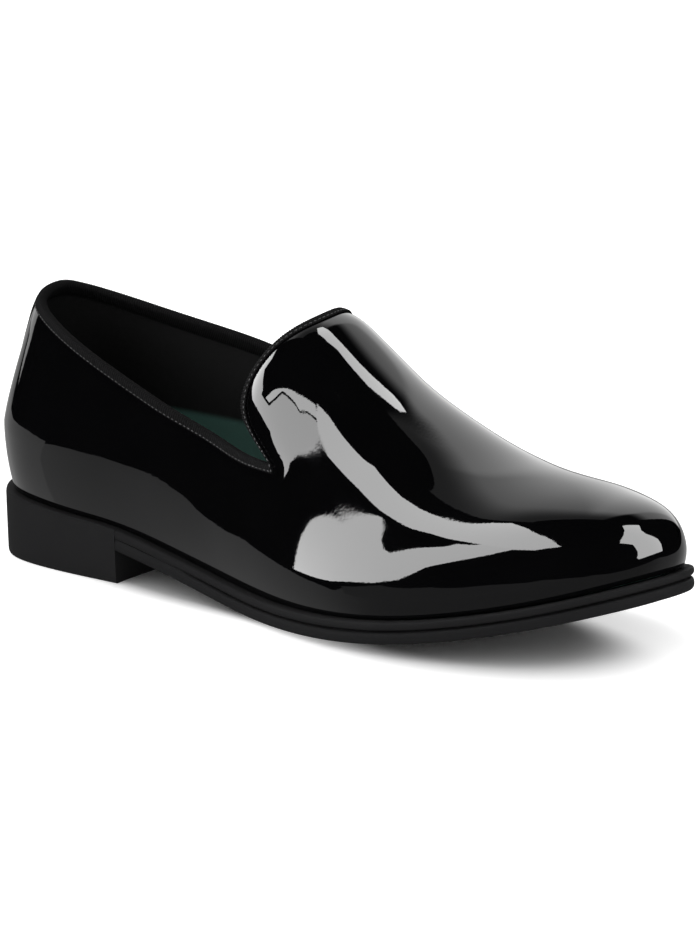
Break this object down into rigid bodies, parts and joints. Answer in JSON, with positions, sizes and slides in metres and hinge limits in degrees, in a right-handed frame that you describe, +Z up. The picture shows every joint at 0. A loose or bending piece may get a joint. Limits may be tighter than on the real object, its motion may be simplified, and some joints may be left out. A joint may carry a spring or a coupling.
{
  "type": "dress loafer",
  "caption": "Slip-on dress loafer in black patent leather with a rounded tongue, ribbed ribbon binding at the collar, and a low rubber sole and heel.",
  "frame": {"origin": "on the floor under the middle of the shoe's box, the shoe standing on its sole", "axes": "+X towards the toe, +Y towards the medial side of this right shoe, +Z up"},
  "size_m": [0.302, 0.1018, 0.1037],
  "materials": {
    "patent_leather": "mirror gloss black patent",
    "ribbed_ribbon": "matt black ribbed ribbon",
    "green_sock": "matt dark green sock",
    "sole_rubber": "satin charcoal rubber"
  },
  "bodies": {
    "root": {"upper": "patent_leather", "topline_binding": "ribbed_ribbon", "back_stay": "ribbed_ribbon", "insole": "green_sock", "welt": "sole_rubber", "outsole": "sole_rubber", "heel": "sole_rubber"}
  },
  "joints": []
}
